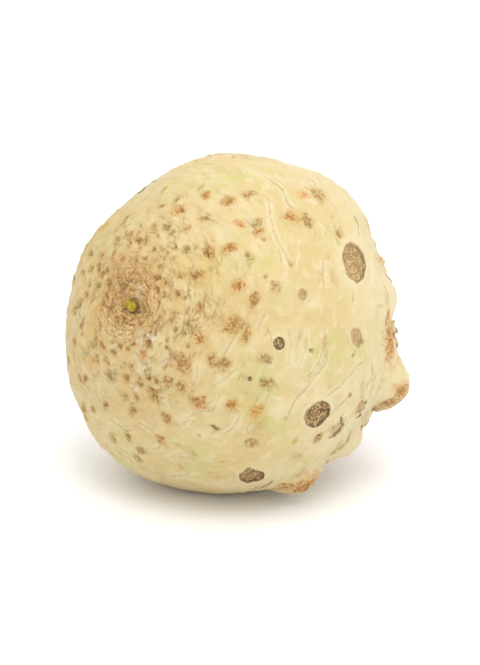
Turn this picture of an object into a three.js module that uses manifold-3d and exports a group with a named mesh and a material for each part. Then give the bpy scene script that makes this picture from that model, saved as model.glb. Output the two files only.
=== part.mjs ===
// Celeriac root: a knobbly, slightly flattened globe, grown as one piece. Its leaves are trimmed
// off at the crown and its roots at the tail, and it lies tipped over on a small flat spot.
// Millimetres, +Z up. The origin is the bottom centre of the bounding box, within the flat spot.

import * as THREE from 'three';
import { mergeVertices } from 'three/addons/utils/BufferGeometryUtils.js';
import Module from 'manifold-3d';

// Driving dimensions
const GIRTH_RADIUS = 60; // from the growth axis to the skin, at the widest
const AXIS_RADIUS = 53.5; // from the centre to the skin, along the growth axis
const TIPPED_BY = 68; // degrees from standing on its tail, the crown going towards -X
const FLAT_SPOT_DEPTH = 3.2; // how far the underside is cut back to lie flat
const FACET_ROWS = 16; // rows of facets along each edge of the starting icosahedron

// Every feature is a place and a size: degrees from the crown, degrees around the growth axis
// (0 on top as the root lies, 90 on the -Y side, 180 underneath), height in mm, reach in degrees.

// Broad swellings and hollows, which blend into the globe
const SWELLINGS = [
  // crown end
  [0, 0, -1.5, 10],
  [48, 283, 2, 16],
  [57, 320, -1.6, 13],
  [50, 236, 2.5, 26],
  [66, 198, 4, 20],
  [30, 120, 0.8, 16],
  // top and the far side
  [101, 24, 3.4, 15],
  [74, 348, 1.2, 16],
  [95, 300, 1.6, 20],
  [88, 262, -1.8, 18],
  [100, 228, 2, 18],
  // near side, where the globe steps over towards the tail
  [111, 48, -3.6, 8],
  [90, 80, 0.8, 18],
  [85, 112, 0.8, 18],
  [97, 154, -1.2, 7],
  [117, 72, -3, 6],
  [113, 112, -3, 5],
];

// Lobes where the roots grew, on the near side and round the tail; folds are left between them
const ROOT_LOBES = [
  // near side
  [115, 62, 2.6, 10],
  [116, 80, 1.6, 8],
  [119, 95, 10, 12],
  [113, 120, 5, 10],
  [102, 140, 5.2, 11],
  // outer ring
  [128, 18, 4, 15],
  [136, 46, 4.5, 13],
  [136, 122, 4.5, 14],
  [143, 152, 4, 14],
  [144, 186, 4.5, 15],
  [134, 216, 4, 14],
  [127, 244, 4.5, 15],
  [130, 274, 5, 15],
  [127, 304, 4, 14],
  [130, 334, 4.5, 14],
  // inner ring
  [142, 80, 5, 15],
  [152, 34, 5, 15],
  [156, 110, 5, 14],
  [163, 180, 5.5, 15],
  [155, 248, 6, 16],
  [152, 300, 5, 14],
  [174, 330, 5, 14],
];

const radians = THREE.MathUtils.degToRad;

// Unit direction of a place on the root, in the growth frame: +Z is the crown
function direction(fromCrown, around) {
  const polar = radians(fromCrown);
  const turn = radians(around);
  return new THREE.Vector3(
    Math.sin(polar) * Math.cos(turn),
    -Math.sin(polar) * Math.sin(turn),
    Math.cos(polar),
  );
}

function feature([fromCrown, around, height, reach]) {
  return { centre: direction(fromCrown, around), height, reach: radians(reach) };
}

const swellings = SWELLINGS.map(feature);
const rootLobes = ROOT_LOBES.map(feature);

// The plain flattened globe
function globeRadius(d) {
  const across = Math.hypot(d.x, d.y) / GIRTH_RADIUS;
  return 1 / Math.hypot(across, d.z / AXIS_RADIUS);
}

// A swelling falls away smoothly; a lobe is a round cap with a definite edge
function swellingHeight(d, { centre, height, reach }) {
  return height * Math.exp(-((d.angleTo(centre) / reach) ** 2));
}

function lobeHeight(d, { centre, height, reach }) {
  return height * (1 - (d.angleTo(centre) / reach) ** 2);
}

function skinRadius(d) {
  const broad = swellings.reduce((sum, s) => sum + swellingHeight(d, s), 0);
  const lobed = rootLobes.reduce((highest, l) => Math.max(highest, lobeHeight(d, l)), 0);
  return globeRadius(d) + broad + lobed;
}

function rootGeometry() {
  const geometry = new THREE.IcosahedronGeometry(1, FACET_ROWS - 1);
  geometry.deleteAttribute('normal');
  geometry.deleteAttribute('uv');
  const places = geometry.attributes.position;
  const d = new THREE.Vector3();
  for (let i = 0; i < places.count; i += 1) {
    d.fromBufferAttribute(places, i).normalize();
    d.multiplyScalar(skinRadius(d));
    places.setXYZ(i, d.x, d.y, d.z);
  }
  return mergeVertices(geometry).rotateY(radians(-TIPPED_BY));
}

const wasm = await Module();
wasm.setup();

function solid(geometry) {
  return new wasm.Manifold(new wasm.Mesh({
    numProp: 3,
    vertProperties: new Float32Array(geometry.attributes.position.array),
    triVerts: new Uint32Array(geometry.index.array),
  }));
}

// The underside is cut off level, to leave the flat spot
function withFlatSpot(geometry) {
  geometry.computeBoundingBox();
  const level = geometry.boundingBox.min.z + FLAT_SPOT_DEPTH;
  const side = 4 * GIRTH_RADIUS; // wider than the root
  const below = new THREE.BoxGeometry(side, side, side).translate(0, 0, level - side / 2);
  below.deleteAttribute('normal');
  below.deleteAttribute('uv');
  const cut = solid(geometry).subtract(solid(mergeVertices(below))).getMesh();
  const result = new THREE.BufferGeometry();
  result.setAttribute('position', new THREE.BufferAttribute(cut.vertProperties, cut.numProp));
  result.setIndex(new THREE.BufferAttribute(cut.triVerts, 1));
  return result;
}

function atOrigin(geometry) {
  geometry.computeBoundingBox();
  const { min, max } = geometry.boundingBox;
  return geometry.translate(-(min.x + max.x) / 2, -(min.y + max.y) / 2, -min.z);
}

const skin = new THREE.MeshStandardMaterial({ color: 0xe4cd9c, roughness: 0.75, metalness: 0 });
const celeriacRoot = new THREE.Mesh(atOrigin(withFlatSpot(rootGeometry())), skin);
celeriacRoot.name = 'celeriac_root';

const part = new THREE.Group();
part.add(celeriacRoot);

export default part;
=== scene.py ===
# Celeriac root, lying tipped over on its small flat spot. Metres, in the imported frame.
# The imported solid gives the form. The skin is one closed mesh wrapped on that form: its scars,
# wrinkles, folds and bud are carved into it, and attributes carry them to the material.
from collections import namedtuple
from math import cos, pi, radians, sin
from types import SimpleNamespace

import bpy
import numpy as np
from mathutils import Matrix, Vector, noise


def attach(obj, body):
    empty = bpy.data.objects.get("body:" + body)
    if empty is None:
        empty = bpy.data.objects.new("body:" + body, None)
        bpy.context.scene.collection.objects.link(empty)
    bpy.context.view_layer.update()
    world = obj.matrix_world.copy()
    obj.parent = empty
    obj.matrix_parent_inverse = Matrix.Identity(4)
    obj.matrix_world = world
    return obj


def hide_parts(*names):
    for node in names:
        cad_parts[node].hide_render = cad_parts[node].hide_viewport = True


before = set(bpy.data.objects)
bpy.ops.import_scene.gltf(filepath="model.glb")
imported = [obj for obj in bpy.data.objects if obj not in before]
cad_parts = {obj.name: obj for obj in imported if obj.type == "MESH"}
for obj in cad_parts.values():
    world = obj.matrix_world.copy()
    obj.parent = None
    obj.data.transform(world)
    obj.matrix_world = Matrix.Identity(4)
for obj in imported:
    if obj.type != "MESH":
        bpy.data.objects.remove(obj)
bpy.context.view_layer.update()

MM = 0.001

# ---------------------------------------------------------------------------------------------
# The root's own frame. It grew upright and lies tipped over, so places on it are given as
# degrees from the crown and degrees around the growth axis: 0 on top as it lies, 90 on the
# -Y side, 180 underneath, 270 on the far side.
# ---------------------------------------------------------------------------------------------
GLOBE_CENTRE = Vector((-1.6, 1.0, 56.0)) * MM
TIPPED_BY = radians(68)
GROWTH_AXES = np.array(Matrix.Rotation(-TIPPED_BY, 3, "Y"))  # columns: growth X, Y and Z
MEAN_RADIUS = 57.0  # mm, to turn angles into distances along the skin

# Skin mesh
GRID = 76  # quads along each edge of the cube that is rounded into the globe
FINE_WITHIN = 38  # degrees from the crown: the ringed part, with quads half the size
FINER_WITHIN = 17
FINEST_WITHIN = 4
TAIL_FINE_WITHIN = 36  # degrees from the tail
FORM_SMOOTHING = 2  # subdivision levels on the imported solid's facets
SKIN_SMOOTHING = 8  # rounds, after the skin is wrapped on that form
WRAP_FROM = 1.5  # times the mean radius, so that the skin starts outside the form everywhere
SCAR_MARGIN, CRACK_MARGIN = 0.8, 0.6  # mm beside them where the mesh is fine too
FAR_AWAY = 99.0  # stands for the distance of anything too far off to matter
SCAR_REACH_LIMIT = 2.5  # half-sizes from a scar's middle, past which the material needs no more
CRACK_SIDE_LIMIT = 3.0  # mm beside a crack, likewise

# Relief all over the skin: size and height of each kind of unevenness, in mm
BROAD_SIZE, BROAD_HEIGHT = 24, 0.35
COARSE_SIZE, COARSE_HEIGHT = 8, 0.30
MEDIUM_SIZE, MEDIUM_HEIGHT = 3, 0.18
FINE_SIZE, FINE_HEIGHT = 1.1, 0.05
RIDGE_LENGTH, RIDGE_GAP, RIDGE_HEIGHT = 9, 3.2, 0.32
RELIEF_DROP = 0.3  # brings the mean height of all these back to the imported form
FOLD_ROUNDS = 60  # of smoothing, from which a fold stands out
FOLD_LIMIT, FOLD_DEPTH = 1.2, 0.35  # mm at most, and how much deeper per mm
SMALL_SCAR_DEPTH = 0.7  # of a large one's

# Rougher ends: where the roughness starts and is full, from the crown, and its height in mm
ROUGH_CROWN_FROM, ROUGH_CROWN_FULL = 64, 44  # mm
ROUGH_CROWN_HEIGHT = 0.30
ROUGH_TAIL_FROM, ROUGH_TAIL_FULL = 112, 128  # degrees
ROUGH_TAIL_COARSE, ROUGH_TAIL_MEDIUM = 0.9, 0.4
FURROWS_FROM, FURROWS_FULL = 114, 132  # degrees
FURROW_GAP, FURROW_WIDTH, FURROW_DEPTH = 13, 0.14, 1.8

# Crown, in mm
BUD_RADIUS = 2.2
BUD_HEIGHT = 2.6
BUD_STRETCH = 0.22  # how far the bud is from round
BUD_TURN = radians(30)
# the side of the bud where a painted shadow lies
BUD_SHADOW_TURN = radians(110)
DIMPLE_REACH = 4.2
DIMPLE_DEPTH = 2.2
FIBRE_LENGTH = 3.2
FIBRE_WIDTH = 0.9
FIBRE_SWAY = 2.2
FIBRES_END = 15.0
FIBRE_HEIGHT = 0.55


def direction(from_crown, around):
    """Unit vector of a place, in the growth frame."""
    polar, turn = radians(from_crown), radians(around)
    return np.array([sin(polar) * cos(turn), -sin(polar) * sin(turn), cos(polar)])


def ringward(around):
    """Unit vector along the ring through a place, the way degrees around go up."""
    turn = radians(around)
    return np.array([-sin(turn), -cos(turn), 0.0])


def smooth_step(low, high, x):
    t = np.clip((x - low) / (high - low), 0, 1)
    return t * t * (3 - 2 * t)


# ---------------------------------------------------------------------------------------------
# Scars: where side roots and leaves were. Sink, below 0 where it goes in, rim and grain are in
# mm. Brown and crisp go from 0 to 1. Warm goes from 0, grey, to 1, rusty, and on to amber, or
# below 0 to mossy.
# ---------------------------------------------------------------------------------------------
Kind = namedtuple("Kind", "sink rim grain brown warm crisp")
CUT = Kind(-0.50, 0.35, 0.22, 1.0, 0.25, 1.0)
WORN_CUT = Kind(-0.40, 0.30, 0.22, 0.55, 0.45, 1.0)
STUMP = Kind(1.40, 0.0, 0.25, 0.60, 0.45, 1.0)
LOW_STUMP = Kind(0.70, 0.0, 0.25, 0.90, 0.30, 1.0)
RINGED = Kind(-0.35, 0.35, 0.25, 0.90, 0.45, 0.45)
RECESS = Kind(-0.80, 0.30, 0.20, 0.60, 0.20, 0.1)
CORKY = Kind(-0.15, 0.30, 0.30, 0.80, 0.50, 0.0)
RUSTY = Kind(-0.15, 0.30, 0.28, 0.90, 0.85, 0.0)
OLIVE = Kind(-0.25, 0.18, 0.15, 0.72, 0.10, 0.0)
ORANGE = Kind(0.10, 0.10, 0.25, 0.90, 1.10, 0.0)
PORE = Kind(-0.15, 0.10, 0.10, 0.70, 0.40, 0.0)
FAINT = Kind(-0.15, 0.12, 0.10, 0.25, 0.60, 0.0)
BARK = Kind(0.15, 0.10, 0.40, 0.95, 0.90, 0.0)
MOSSY = Kind(0.10, 0.10, 0.15, 0.80, -0.50, 0.0)
SLIT = Kind(-0.80, 0.25, 0.1, 1.0, 0.20, 0.1)

# Length runs away from the crown and width round the ring, in mm, before the turn in degrees.
Scar = namedtuple("Scar", "kind from_crown around length width turn", defaults=[0])


def scars_of(kind, *places_and_sizes):
    """Scars of one kind, each given as the rest of its fields."""
    return [Scar(kind, *fields) for fields in places_and_sizes]


NEAR_SIDE_SCARS = [
    # large cut roots
    *scars_of(WORN_CUT, (86, 56, 13.9, 9.9, -69)),
    *scars_of(CUT, (80, 108, 9.1, 8.4, -88), (79, 141, 9.3, 7.8, 28), (58, 88, 4.0, 3.5, 71)),
    *scars_of(RINGED, (85, 81, 6.1, 5.0, 39), (64, 69, 4.0, 3.2, -81)),
    # upper side
    *scars_of(
        RUSTY, (67, 38, 5, 5), (52, 20, 5, 5), (49, 9, 3, 3), (39, 4, 4, 5), (50, 34, 3, 3),
        (54, 41, 4, 3), (43, 44, 5, 4),
    ),
    *scars_of(
        OLIVE, (72, 41, 4, 6), (83, 29, 5, 6, 20), (31, 4, 3, 3), (55, 37, 3, 4, 20),
        (48, 52, 3, 4),
    ),
    *scars_of(ORANGE, (77, 29, 4, 3), (46, 304, 4, 5)),
    *scars_of(CORKY, (59, 22, 5, 3)),
    *scars_of(MOSSY, (48, 344, 4.5, 2.5)),
    # round the crown
    *scars_of(
        OLIVE, (30, 352, 2.5, 2), (30, 12, 3, 2.5), (30, 32, 3, 3), (24, 353, 2, 2),
        (29, 317, 4, 3), (37, 322, 4, 3), (43, 357, 4, 2.5), (42, 21, 4, 3), (21, 278, 3, 3),
        (27, 188, 3.5, 2.5), (24, 220, 4, 3), (35, 236, 3, 2.5), (38, 291, 4, 2.5), (47, 232, 3, 3),
        (31, 285, 4.5, 2.5), (32, 258, 4, 3), (37, 211, 3.5, 2.5), (39, 171, 3.5, 2.5),
        (45, 200, 3, 2.5),
    ),
    *scars_of(
        CORKY, (35, 19, 3, 2.5), (36, 42, 4.5, 5), (24, 49, 3, 3), (30, 54, 5, 4.5),
        (18, 48, 2.5, 2.5), (24, 313, 3, 3), (39, 350, 2.5, 2), (20, 298, 3, 2.5), (17, 64, 2.5, 3),
        (22, 66, 3, 2.5), (30, 77, 3, 3), (27, 98, 1.8, 1.8), (32, 134, 4.5, 3.5, 20),
        (32, 149, 3.5, 3), (27, 147, 3, 2), (26, 170, 2.5, 2.5), (33, 172, 3, 2.5),
        (38, 169, 2.5, 2), (18, 187, 2.5, 3.5), (19, 209, 3, 3), (53, 207, 4, 2), (35, 255, 3.5, 3),
        (40, 215, 3, 3), (36, 279, 4, 2.5), (29, 299, 3.5, 2.5), (27, 267, 3.5, 2.5),
        (28, 243, 3.5, 3), (18, 326, 3, 2.5), (22, 217, 3.5, 2.5), (33, 163, 3, 2.5),
        (50, 208, 4, 2.5), (28, 156, 3.5, 3),
    ),
    *scars_of(RUSTY, (23, 334, 3, 2.5), (28, 333, 3, 2.5), (40, 191, 3, 2), (21, 290, 3, 3)),
    *scars_of(FAINT, (44, 327, 3, 2), (22, 15, 3, 2.5), (32, 72, 3, 4), (38, 122, 2, 2)),
    *scars_of(MOSSY, (51, 4, 3, 1.5)),
    # middle
    *scars_of(RUSTY, (43, 65, 5, 4), (32, 96, 4, 4)),
    *scars_of(OLIVE, (55, 66, 3, 4), (55, 95, 4, 4), (59, 104, 5, 4)),
    *scars_of(
        CORKY, (48, 72, 3, 7, 10), (42, 84, 7, 6), (47, 88, 3, 5, 10), (43, 104, 4, 6, 10),
        (39, 105, 3, 4), (31, 117, 7, 6),
    ),
    *scars_of(FAINT, (71, 63, 2, 5), (76, 62, 3, 6), (73, 84, 3, 5)),
    *scars_of(SLIT, (69, 88, 1.6, 1.2)),
    *scars_of(CUT, (53, 105, 1.5, 1.5)),
    # lower side
    *scars_of(MOSSY, (79, 120, 1.4, 2.2), (53, 140, 1.8, 1.4)),
    *scars_of(ORANGE, (61, 116, 4, 6, -20)),
    *scars_of(RUSTY, (53, 119, 4, 4), (44, 128, 6, 5), (50, 160, 4, 3)),
    *scars_of(OLIVE, (67, 128, 5, 3), (55, 174, 4.5, 3, 20), (52, 188, 4, 2.5), (59, 178, 5, 3)),
    *scars_of(
        FAINT, (64, 120, 4, 7, -25), (85, 126, 4, 5), (60, 193, 5, 2.5), (64, 160, 4, 2.5),
        (58, 150, 6, 4), (69, 173, 7, 5), (72, 150, 6, 5),
    ),
    *scars_of(RECESS, (91, 112, 4, 5, -30)),
    *scars_of(RINGED, (98, 103, 4.5, 5)),
    *scars_of(SLIT, (54, 132, 3, 1.5)),
    *scars_of(CORKY, (36, 128, 4, 4), (43, 149, 5, 4), (49, 178, 5, 2), (34, 150, 5, 3)),
    # the step over to the tail, and the knobs
    *scars_of(BARK, (108, 79, 10, 14), (100, 137, 11, 9)),
    *scars_of(RUSTY, (105, 72, 4, 6), (114, 95, 5, 5)),
    *scars_of(CORKY, (113, 101, 6, 7), (94, 141, 4, 9, 10)),
    *scars_of(SLIT, (83, 46, 1.5, 2.5), (106, 36, 2, 4), (86, 116, 2.0, 4.5, -10)),
    *scars_of(FAINT, (104, 66, 3, 6), (100, 78, 3, 4), (101, 96, 2, 9, -20), (96, 98, 2, 8, -30)),
]

# Roots cut off at the tail, some short and some leaving a stump
TAIL_SCARS = [
    *scars_of(
        LOW_STUMP, (127, 14, 11, 9, 20), (130, 205, 5, 6, 30), (134, 276, 8, 10), (163, 200, 7, 8),
        (176, 330, 9, 12, 30),
    ),
    *scars_of(RINGED, (131, 33, 5, 6), (138, 50, 7, 9, 40), (147, 142, 5, 5), (128, 305, 5, 4)),
    *scars_of(
        CUT, (134, 70, 4, 4), (135, 118, 6, 8, -20), (126, 250, 4, 5), (154, 20, 5, 6),
        (152, 268, 5, 5),
    ),
    *scars_of(
        STUMP, (148, 84, 10, 8, -20), (138, 168, 9, 11, 10), (141, 226, 12, 9, -30),
        (139, 328, 9, 8, 25), (158, 100, 12, 10, 50), (160, 318, 8, 7),
    ),
]

# Dry cracks and green veins in the skin: places they pass, width and depth in mm, and their
# look: dark 0 to 1, green 0 to 1.
Crack = namedtuple("Crack", "places width depth dark green")
NEAR_SIDE_CRACKS = [
    # upper side
    Crack([(69, 9), (70, 18), (71, 24), (69, 33), (72, 36)], 0.16, 0.18, 0.45, 0.1),
    Crack([(66, 24), (61, 34), (59, 44), (60, 52), (61, 60)], 0.14, 0.15, 0.34, 0.2),
    Crack([(52, 31), (53, 38), (55, 45)], 0.14, 0.15, 0.3, 0.0),
    Crack([(94, 37), (95, 41), (93, 45)], 0.32, 0.36, 0.6, 0.1),
    Crack([(76, 18), (78, 25), (80, 31)], 0.14, 0.15, 0.3, 0.3),
    Crack([(73, 55), (72, 61), (72, 67)], 0.16, 0.12, 0.34, 0.0),
    Crack([(103, 60), (106, 66), (107, 71)], 0.23, 0.3, 0.45, 0.1),
    # under the crown
    Crack([(43, 170), (44, 165), (47, 162)], 0.16, 0.18, 0.40, 0.0),
    Crack([(58, 162), (57, 155), (60, 149)], 0.15, 0.16, 0.34, 0.1),
    Crack([(66, 178), (69, 170), (68, 162)], 0.16, 0.18, 0.40, 0.0),
    # middle
    Crack([(74, 84), (75, 91), (72, 99), (70, 107), (71, 114)], 0.16, 0.21, 0.41, 0.0),
    Crack([(72, 78), (73, 86), (72, 94), (70, 98)], 0.14, 0.18, 0.38, 0.0),
    Crack([(89, 88), (85, 95), (82, 99), (79, 102)], 0.2, 0.21, 0.41, 0.1),
    Crack([(52, 77), (51, 81), (50, 85)], 0.12, 0.12, 0.45, 0.0),
    Crack([(60, 82), (62, 88), (63, 95)], 0.18, 0.15, 0.22, 0.9),
    Crack([(66, 80), (67, 88), (66, 96)], 0.18, 0.15, 0.22, 0.8),
    Crack([(44, 86), (43, 93), (42, 101)], 0.14, 0.15, 0.38, 0.2),
    Crack([(48, 102), (46, 110), (44, 117)], 0.2, 0.12, 0.22, 0.9),
    Crack([(56, 118), (58, 125), (58, 132)], 0.16, 0.18, 0.38, 0.0),
    Crack([(95, 87), (98, 92), (97, 97)], 0.27, 0.24, 0.38, 0.1),
    Crack([(91, 96), (87, 104), (84, 110)], 0.23, 0.27, 0.38, 0.0),
    # lower side
    Crack([(47, 116), (49, 126), (46, 134), (48, 148)], 0.25, 0.15, 0.3, 1.0),
    Crack([(35, 107), (37, 115), (39, 123)], 0.23, 0.15, 0.22, 0.9),
    Crack([(16, 158), (20, 150), (25, 143), (28, 146)], 0.23, 0.24, 0.52, 0.0),
    Crack([(44, 189), (47, 181), (46, 173)], 0.18, 0.18, 0.45, 0.0),
    Crack([(57, 189), (60, 185), (63, 181)], 0.18, 0.18, 0.52, 0.0),
    Crack([(50, 172), (54, 166), (52, 160)], 0.16, 0.15, 0.38, 0.0),
    Crack([(93, 136), (95, 131), (94, 127)], 0.2, 0.24, 0.41, 0.0),
    Crack([(66, 156), (68, 165), (66, 172)], 0.14, 0.15, 0.3, 0.2),
    # folds between the knobs
    Crack([(110, 103), (116, 109), (113, 114)], 0.50, 0.60, 0.9, 0.0),
    Crack([(90, 107), (93, 110), (93.5, 113), (91, 116)], 0.42, 0.80, 0.9, 0.0),
    Crack([(100, 108), (104, 116), (103, 124), (99, 130)], 0.40, 0.90, 0.6, 0.1),
    Crack([(100, 100), (102, 104), (101, 108)], 0.50, 0.70, 1.0, 0.0),
    Crack([(88, 139), (91, 148), (89, 158)], 0.40, 0.80, 0.6, 0.0),
    Crack([(105, 127), (108, 133), (107, 141)], 0.40, 0.80, 0.6, 0.0),
]

# Dry whitish patches by the bud: place and size in mm
PALE_PATCHES = [
    ((6.5, 25), 5.0), ((15, 130), 9.0), ((19, 142), 8.0), ((17, 118), 6.0), ((16, 192), 5.0),
    ((24, 150), 6.0), ((27, 125), 5.0), ((30, 165), 5.0),
]

# Hollows in the globe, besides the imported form: place, reach and depth in mm
HOLLOWS = [((38, 268), 20.0, 1.3)]

# Rings of small scars round the crown: distance from the bud, gap along the ring, in mm
LEAF_SCAR_RINGS = [
    (14, 4.8), (18, 5.2), (22.5, 5.6), (27, 6.0), (32, 6.4), (37.5, 7.0), (43, 8.0), (49, 10.0),
]

# The near side, where scars and cracks are listed one by one, and what is scattered elsewhere
NEAR_SIDE = direction(41, 84)
NEAR_SIDE_REACH = cos(radians(86))
HAND_PLACED_FROM = 31  # degrees from the crown
FAR_SIDE_SCARS = 70
FAR_SIDE_BAND = (32, 150)  # degrees from the crown
FAR_SIDE_KINDS = [
    CORKY, RUSTY, OLIVE, CORKY, ORANGE, FAINT, RUSTY, WORN_CUT, CORKY, RINGED, CUT, OLIVE,
]
FAR_SIDE_CRACKS = 34
FAR_SIDE_CRACK_BAND = (35, 125)  # degrees from the crown
LEAF_SCAR_KINDS = [CORKY, CORKY, CORKY, OLIVE, RUSTY]
LEAF_SCARS_KEPT = 0.75  # of the places round each ring
LEAF_SCARS_PAIRED = 0.3
PORES = 120
PORES_FROM = 40  # degrees from the crown
ROOTLET_SCARS = 70
ROOTLET_BAND = (116, 176)  # degrees from the crown
SEED = 11


def gap_between(a, b):
    """Distance along the skin between two places' middles, in mm."""
    return MEAN_RADIUS * np.arccos(np.clip(a @ b, -1, 1))


def angles_of(d):
    """Degrees from the crown and around, of a direction in the growth frame."""
    return np.degrees(np.arccos(d[2])), np.degrees(np.arctan2(-d[1], d[0])) % 360


def far_side_scars(rng):
    """Scars scattered where none is listed, apart from each other and the tail's."""
    taken = [(direction(s.from_crown, s.around), max(s.length, s.width)) for s in TAIL_SCARS]
    found = []
    while len(found) < FAR_SIDE_SCARS:
        d = rng.normal(size=3)
        d /= np.linalg.norm(d)
        kind = FAR_SIDE_KINDS[rng.integers(len(FAR_SIDE_KINDS))]
        size = rng.uniform(6, 10) if kind in (CUT, WORN_CUT) else rng.uniform(3, 6)
        stretch = rng.uniform(0.8, 1.25)
        turn = rng.uniform(-40, 40)
        from_crown, around = angles_of(d)
        hand_placed = d @ NEAR_SIDE > NEAR_SIDE_REACH
        crowded = any(gap_between(d, c) < 0.5 * (size + other) + 3 for c, other in taken)
        if hand_placed or crowded or not FAR_SIDE_BAND[0] < from_crown < FAR_SIDE_BAND[1]:
            continue
        taken.append((d, size))
        found.append(Scar(kind, from_crown, around, size * stretch, size / stretch, turn))
    return found


def small_scars(rng, large):
    """Leaf scars in rings round the crown, some in pairs, pores, and the tail's rootlet scars."""
    taken = [(direction(s.from_crown, s.around), 0.5 * max(s.length, s.width)) for s in large]
    small = []

    def place(from_crown, around, size, kind, apart=0.3):
        d = direction(from_crown, around)
        if kind is not PORE and from_crown > HAND_PLACED_FROM and d @ NEAR_SIDE > NEAR_SIDE_REACH:
            return
        if all(gap_between(d, c) > reach + 0.5 * size + apart for c, reach in taken):
            taken.append((d, 0.5 * size))
            stretch = rng.uniform(0.75, 1.35)
            own = kind._replace(
                brown=kind.brown * rng.uniform(0.6, 1.3), warm=kind.warm * rng.uniform(0.4, 1.4)
            )
            turn = rng.uniform(-50, 50)
            small.append(Scar(own, from_crown, around, size / stretch, size * stretch, turn))

    for distance, gap in LEAF_SCAR_RINGS:
        from_crown = np.degrees(distance / MEAN_RADIUS)
        mm_around = 2 * pi * MEAN_RADIUS * sin(radians(from_crown))
        count = round(mm_around / gap)
        start = rng.uniform(0, 360)
        for i in range(count):
            tilt = np.degrees(rng.normal(0, 1.2) / MEAN_RADIUS)
            slide = rng.uniform(-0.4, 0.4)
            size = 1.6 + 3.2 * rng.random() ** 1.6
            kind = LEAF_SCAR_KINDS[rng.integers(len(LEAF_SCAR_KINDS))]
            around = start + (i + slide) * 360 / count
            if rng.random() < LEAF_SCARS_KEPT:
                place(from_crown + tilt, around, size, kind)
            if rng.random() < LEAF_SCARS_PAIRED:
                beside = around + rng.choice([-1, 1]) * 360 * 0.7 * size / mm_around
                place(from_crown + 2 * tilt, beside, 0.6 * size, kind, apart=-0.5)
    for _ in range(PORES):
        d = rng.normal(size=3)
        from_crown, around = angles_of(d / np.linalg.norm(d))
        if from_crown > PORES_FROM:
            place(from_crown, around, rng.uniform(0.7, 1.8), PORE)
    for _ in range(ROOTLET_SCARS):
        from_crown, around = rng.uniform(*ROOTLET_BAND), rng.uniform(0, 360)
        place(from_crown, around, rng.uniform(1, 2.6), CORKY, apart=-0.2)
    return small


def far_side_cracks(rng):
    """Cracks that run round the growth axis, where none is listed."""
    cracks = []
    while len(cracks) < FAR_SIDE_CRACKS:
        from_crown, around = rng.uniform(*FAR_SIDE_CRACK_BAND), rng.uniform(0, 360)
        mm_around = 2 * pi * MEAN_RADIUS * sin(radians(from_crown))
        stride = rng.uniform(3, 9) * 360 / mm_around
        slope = rng.uniform(-0.35, 0.35)
        bends = rng.normal(0, 0.8, size=4)
        width, dark = rng.uniform(0.12, 0.25), rng.uniform(0.3, 0.65)
        green = rng.choice([0.0, 0.1, 0.9])
        places = [
            (from_crown + i * slope * 4 + bend, around + i * stride) for i, bend in enumerate(bends)
        ]
        if max(direction(*place) @ NEAR_SIDE for place in places) < NEAR_SIDE_REACH:
            cracks.append(Crack(places, width, width, 0.75 * dark, green))
    return cracks


# ---------------------------------------------------------------------------------------------
# Mesh work
# ---------------------------------------------------------------------------------------------
def alone(obj):
    """Makes obj the active object and the only selected one."""
    bpy.ops.object.select_all(action="DESELECT")
    obj.select_set(True)
    bpy.context.view_layer.objects.active = obj


def edit_faces(obj, chosen, step, **settings):
    """Runs one edit-mode step on the chosen faces."""
    mesh = obj.data
    for items in (mesh.vertices, mesh.edges):
        items.foreach_set("select", np.zeros(len(items), bool))
    mesh.polygons.foreach_set("select", chosen)
    alone(obj)
    bpy.context.tool_settings.mesh_select_mode = (False, False, True)
    bpy.ops.object.mode_set(mode="EDIT")
    step(**settings)
    bpy.ops.object.mode_set(mode="OBJECT")


def apply_modifier(obj, kind, **settings):
    alone(obj)
    modifier = obj.modifiers.new(kind.title(), kind)
    for name, value in settings.items():
        setattr(modifier, name, value)
    bpy.ops.object.modifier_apply(modifier=modifier.name)


def read_vertices(mesh, what="co"):
    values = np.zeros(len(mesh.vertices) * 3, np.float32)
    if what == "co":
        mesh.vertices.foreach_get("co", values)
    else:
        mesh.vertex_normals.foreach_get("vector", values)
    return values.reshape(-1, 3).astype(float)


def write_vertices(mesh, places):
    mesh.vertices.foreach_set("co", places.astype(np.float32).ravel())
    mesh.update()


def face_centres(mesh):
    values = np.zeros(len(mesh.polygons) * 3, np.float32)
    mesh.polygons.foreach_get("center", values)
    return values.reshape(-1, 3).astype(float)


def rounded(obj):
    """Pushes every vertex onto the unit globe."""
    places = read_vertices(obj.data)
    write_vertices(obj.data, places / np.linalg.norm(places, axis=1)[:, None])


def scar_reach(scar, directions):
    """Distance from the scar's middle, in units of its own half-size, for each direction, and
    how far it leans away from the crown, in the same unit."""
    middle = direction(scar.from_crown, scar.around)
    across = ringward(scar.around)
    along = np.cross(across, middle)
    if along @ direction(scar.from_crown + 1, scar.around) < 0:
        along = -along
    turn = radians(scar.turn)
    offset = (directions - middle) * MEAN_RADIUS
    a, b = offset @ along, offset @ across
    lengthwise = (a * cos(turn) + b * sin(turn)) * 2 / scar.length
    widthwise = (b * cos(turn) - a * sin(turn)) * 2 / scar.width
    reach = np.hypot(lengthwise, widthwise)
    return np.where(directions @ middle > 0.5, reach, FAR_AWAY), a * 2 / scar.length


def smooth_path(places, step):
    """Directions every step mm along a smooth path through the places."""
    corners = np.array([direction(*place) for place in places])
    before, after = 2 * corners[0] - corners[1], 2 * corners[-1] - corners[-2]
    run = np.vstack([before, corners, after])
    stretches = []
    for a, b, c, d in zip(run, run[1:], run[2:], run[3:]):
        t = np.arange(0, 1, step / (MEAN_RADIUS * np.linalg.norm(c - b)))[:, None]
        curve = 2 * b + (c - a) * t + (2 * a - 5 * b + 4 * c - d) * t**2
        stretches.append(0.5 * (curve + (3 * b - a - 3 * c + d) * t**3))
    path = np.vstack(stretches + [corners[-1:]])
    return path / np.linalg.norm(path, axis=1)[:, None]


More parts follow.
